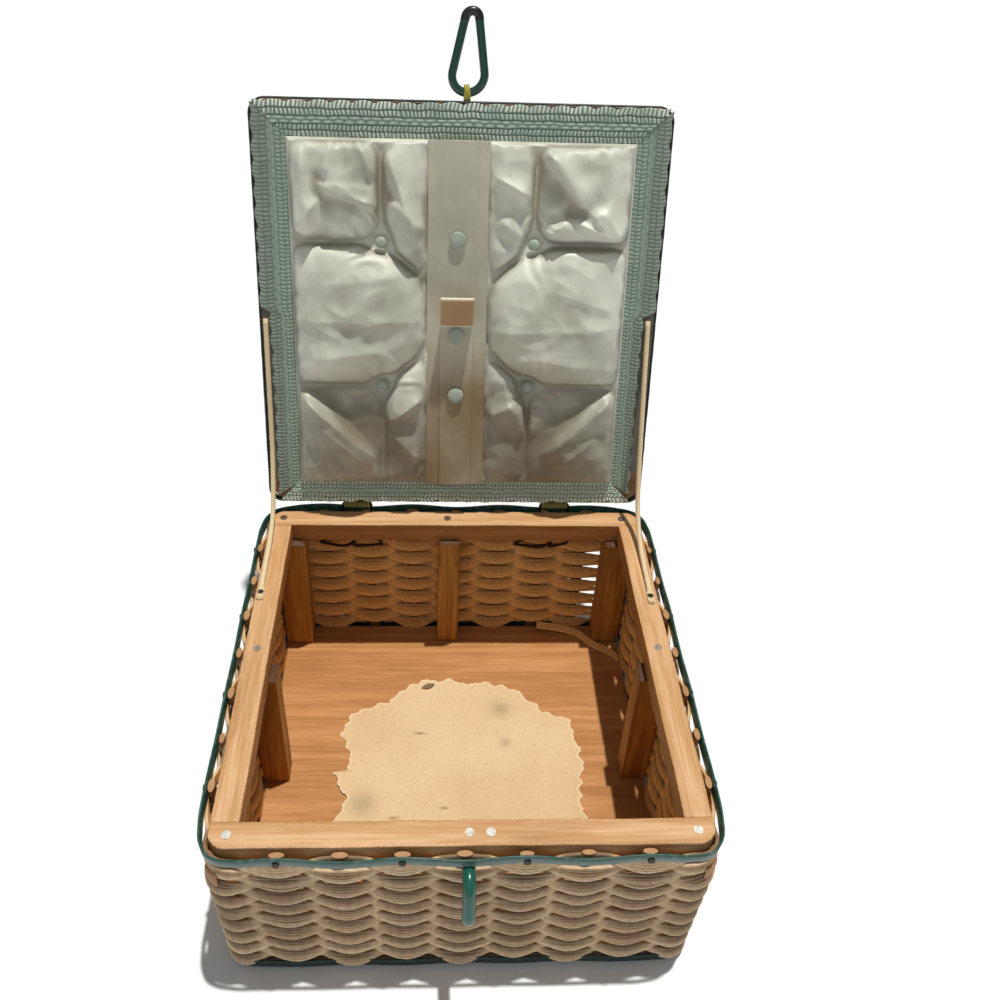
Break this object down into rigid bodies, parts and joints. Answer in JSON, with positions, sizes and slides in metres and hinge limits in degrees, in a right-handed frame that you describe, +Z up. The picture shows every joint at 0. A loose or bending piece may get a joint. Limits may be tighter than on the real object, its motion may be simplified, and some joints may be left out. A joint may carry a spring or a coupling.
{
  "type": "wicker sewing basket",
  "caption": "Square wicker sewing basket with a timber rim frame and a hinged, satin-lined padded lid held by stay cords and closed by a loop and peg.",
  "frame": {"origin": "centre of the bottom board's underside, on the floor", "axes": "+Z up, +Y towards the hinged back, -Y towards the clasp at the front, +X to the right seen from the front"},
  "size_m": [0.2542, 0.3524, 0.4001],
  "materials": {
    "plywood": "worn plywood",
    "pine": "aged varnished softwood",
    "post_wood": "stained softwood",
    "wicker": "twisted paper cord",
    "reed": "bare reed",
    "green_strip": "flat plastic strip",
    "dark_strip": "flat plastic strip",
    "nail_steel": "tarnished nail heads",
    "tack_iron": "blackened iron",
    "kraft_paper": "torn paper",
    "green_vinyl": "glossy vinyl",
    "dark_vinyl": "glossy vinyl",
    "hinge_wire": "black wire",
    "cotton_cord": "braided cotton",
    "card": "grey card",
    "green_braid": "woven gimp braid",
    "satin": "padded satin",
    "satin_ribbon": "satin ribbon",
    "mint_button": "covered buttons",
    "hinge_cord": "waxed cord",
    "tie_thread": "thread"
  },
  "bodies": {
    "basket": {"bottom_board": "plywood", "front_rail": "pine", "back_rail": "pine", "left_rail": "pine", "right_rail": "pine", "front_left_post": "post_wood", "front_right_post": "post_wood", "back_left_post": "post_wood", "back_right_post": "post_wood", "front_mid_post": "post_wood", "back_mid_post": "post_wood", "left_mid_post": "post_wood", "right_mid_post": "post_wood", "front_wall": "wicker", "back_wall": "wicker", "left_wall": "wicker", "right_wall": "wicker", "front_reeds": "reed", "back_reeds": "reed", "left_reeds": "reed", "right_reeds": "reed", "rim_strip": "green_strip", "foot_strip": "green_strip", "rail_nails": "nail_steel", "strip_tacks": "tack_iron", "stay_tacks": "tack_iron", "paper_liner": "kraft_paper", "clasp_peg": "green_vinyl", "left_hinge_wire": "hinge_wire", "right_hinge_wire": "hinge_wire", "left_stay_cord": "cotton_cord", "right_stay_cord": "cotton_cord"},
    "lid": {"lid_weave": "wicker", "lid_reeds": "reed", "lid_edge_strip": "dark_strip", "lid_back_batten": "pine", "lid_front_batten": "pine", "lid_left_batten": "pine", "lid_right_batten": "pine", "backing_card": "card", "hinge_braid": "green_braid", "front_braid": "green_braid", "left_braid": "green_braid", "right_braid": "green_braid", "satin_lining": "satin", "ribbon_band": "satin_ribbon", "tool_strap": "satin_ribbon", "snap_buttons": "mint_button", "tuft_buttons": "mint_button", "left_hinge_winding": "hinge_cord", "right_hinge_winding": "hinge_cord", "clasp_thread": "tie_thread"},
    "clasp_loop": {"clasp_loop": "dark_vinyl"},
    "strap_tab": {"strap_tab": "satin_ribbon"}
  },
  "joints": [
    {"name": "lid_hinge", "type": "hinge", "parent": "basket", "child": "lid", "pos_m": [0, 0.1245, 0.1134], "axis": [1, 0, 0], "range_deg": [0, 105.5], "deforming": ["left_stay_cord", "right_stay_cord"]},
    {"name": "loop_swing", "type": "hinge", "parent": "lid", "child": "clasp_loop", "pos_m": [0.002, 0.1927, 0.35709], "axis": [1, 0, 0], "range_deg": [-80, 40]},
    {"name": "tab_fold", "type": "hinge", "parent": "lid", "child": "strap_tab", "pos_m": [-0.002, 0.1495, 0.23235], "axis": [1, 0, 0], "range_deg": [-30, 50], "stiffness_Nm_per_rad": 0.002}
  ]
}
